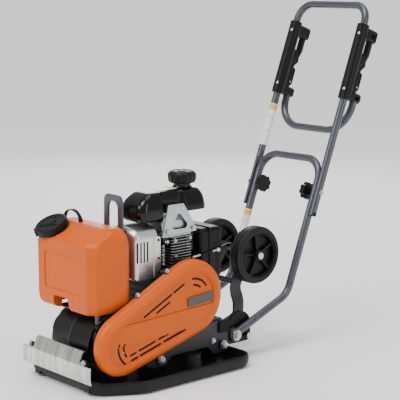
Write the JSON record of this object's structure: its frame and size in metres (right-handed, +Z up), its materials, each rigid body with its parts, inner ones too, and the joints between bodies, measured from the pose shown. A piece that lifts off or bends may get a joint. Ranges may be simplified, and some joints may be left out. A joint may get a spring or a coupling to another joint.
{
  "type": "plate compactor",
  "caption": "Forward plate compactor with belt-driven exciter, water tank, folding steel handle and swing-down transport wheels.",
  "frame": {"origin": "centre of the base plate's sole, on the ground", "axes": "+Z up, +X towards the belt guard, +Y rearwards to the handle; the machine drives towards -Y"},
  "size_m": [0.42, 1.0655, 0.9808],
  "materials": {
    "orange_plastic": "satin orange moulding",
    "frame_paint": "violet-grey powder coat on steel tube",
    "bed_paint": "dark grey powder coat on steel plate",
    "black_iron": "semi-gloss black paint on cast iron",
    "black_plastic": "moulded, satin",
    "black_sheet": "satin black paint on folded sheet",
    "gloss_black": "gloss",
    "rubber": "matt",
    "tyre": "moulded rubber, satin",
    "zinc": "zinc plated or galvanised",
    "aluminium": "die cast, satin",
    "sheet_steel": "bright pressed sheet"
  },
  "bodies": {
    "machine": {"base_plate": "black_iron", "exciter_housing": "black_iron", "exciter_cover": "black_iron", "front_bar": "zinc", "engine_bed": "bed_paint", "rubber_mount_front_left": "rubber", "rubber_mount_front_right": "rubber", "rubber_mount_rear_left": "rubber", "rubber_mount_rear_right": "rubber", "handle_stop_left": "rubber", "handle_stop_right": "rubber", "belt_guard": "orange_plastic", "guard_back_plate": "bed_paint", "v_belt": "rubber", "crankcase": "aluminium", "cylinder_block": "aluminium", "cylinder_head": "aluminium", "lift_bracket": "aluminium", "muffler": "black_iron", "muffler_shield": "sheet_steel", "carburettor": "aluminium", "air_filter": "black_plastic", "fuel_tank": "gloss_black", "fan_housing": "black_plastic", "spark_plug": "sheet_steel", "water_tank": "orange_plastic", "cap_strap": "rubber", "tank_apron": "black_sheet", "tank_carrier": "bed_paint", "water_tap": "zinc", "sprinkler_pipe": "black_plastic", "lifting_loop": "bed_paint", "pivot_shaft": "zinc"},
    "engine_rotor": {"crankshaft": "zinc", "flywheel": "aluminium", "clutch_drum": "aluminium"},
    "exciter_rotor": {"exciter_shaft": "zinc", "exciter_pulley": "aluminium"},
    "lower_handle": {"lower_frame": "frame_paint", "pivot_plate_left": "black_plastic", "pivot_plate_right": "black_plastic"},
    "upper_handle": {"upper_frame": "frame_paint", "grip_bracket_left": "black_plastic", "grip_bracket_right": "black_plastic", "rear_grip_tube": "frame_paint"},
    "clamp_knob_left": {"star_knob_left": "black_plastic"},
    "clamp_knob_right": {"star_knob_right": "black_plastic"},
    "handle_pin": {"lock_pin": "zinc"},
    "wheel_carrier": {"wheel_arms": "bed_paint", "wheel_axle": "zinc"},
    "wheel_left": {"wheel_rim_left": "black_plastic", "tyre_left": "tyre"},
    "wheel_right": {"wheel_rim_right": "black_plastic", "tyre_right": "tyre"},
    "water_filler_cap": {"water_cap": "black_plastic"},
    "fuel_filler_cap": {"fuel_cap": "black_plastic"},
    "throttle": {"throttle_lever": "black_plastic"},
    "choke": {"choke_lever": "black_plastic"},
    "tap_handle": {"tap_lever": "black_plastic"},
    "starter": {"starter_grip": "black_plastic"}
  },
  "joints": [
    {"name": "crank_spin", "type": "hinge", "parent": "machine", "child": "engine_rotor", "pos_m": [0.034, 0.069, 0.213], "axis": [1, 0, 0], "continuous": true},
    {"name": "exciter_spin", "type": "hinge", "parent": "machine", "child": "exciter_rotor", "pos_m": [0, -0.164, 0.124], "axis": [1, 0, 0], "continuous": true},
    {"name": "handle_fold", "type": "hinge", "parent": "machine", "child": "lower_handle", "pos_m": [0, 0.251, 0.072], "axis": [1, 0, 0], "range_deg": [0, 60]},
    {"name": "upper_handle_fold", "type": "hinge", "parent": "lower_handle", "child": "upper_handle", "pos_m": [0, 0.56446, 0.43938], "axis": [1, 0, 0], "range_deg": [0, 60]},
    {"name": "knob_turn_left", "type": "hinge", "parent": "lower_handle", "child": "clamp_knob_left", "pos_m": [0.093, 0.56446, 0.43938], "axis": [1, 0, 0], "continuous": true},
    {"name": "knob_turn_right", "type": "hinge", "parent": "lower_handle", "child": "clamp_knob_right", "pos_m": [-0.093, 0.56446, 0.43938], "axis": [1, 0, 0], "continuous": true},
    {"name": "lock_pin_slide", "type": "slide", "parent": "lower_handle", "child": "handle_pin", "axis": [1, 0, 0], "range_m": [-0.008, 0]},
    {"name": "wheel_arm_swing", "type": "hinge", "parent": "machine", "child": "wheel_carrier", "pos_m": [0, 0.251, 0.072], "axis": [1, 0, 0], "range_deg": [-58, 0]},
    {"name": "wheel_spin_left", "type": "hinge", "parent": "wheel_carrier", "child": "wheel_left", "pos_m": [0.082, 0.365, 0.277], "axis": [1, 0, 0], "continuous": true},
    {"name": "wheel_spin_right", "type": "hinge", "parent": "wheel_carrier", "child": "wheel_right", "pos_m": [-0.082, 0.365, 0.277], "axis": [1, 0, 0], "continuous": true},
    {"name": "water_cap_turn", "type": "hinge", "parent": "machine", "child": "water_filler_cap", "pos_m": [-0.08, -0.214, 0.409], "axis": [0, -0.4384, 0.8988], "continuous": true},
    {"name": "fuel_cap_turn", "type": "hinge", "parent": "machine", "child": "fuel_filler_cap", "pos_m": [0.04, 0.132, 0.484], "axis": [0, 0, 1], "continuous": true},
    {"name": "throttle_turn", "type": "hinge", "parent": "machine", "child": "throttle", "pos_m": [0.0963, 0.222, 0.318], "axis": [1, 0, 0], "range_deg": [0, 35]},
    {"name": "choke_turn", "type": "hinge", "parent": "machine", "child": "choke", "pos_m": [0.0683, 0.136, 0.345], "axis": [1, 0, 0], "range_deg": [0, 20]},
    {"name": "tap_turn", "type": "hinge", "parent": "machine", "child": "tap_handle", "pos_m": [0.1143, -0.196, 0.1827], "axis": [1, 0, 0], "range_deg": [0, 90]},
    {"name": "starter_pull", "type": "slide", "parent": "machine", "child": "starter", "axis": [0, 0, 1], "range_m": [0, 0.25], "stiffness_N_per_m": 25, "springref_m": -0.1}
  ],
  "couplings": [
    {"joint": "exciter_spin", "follows": "crank_spin", "ratio": 1.5625}
  ]
}
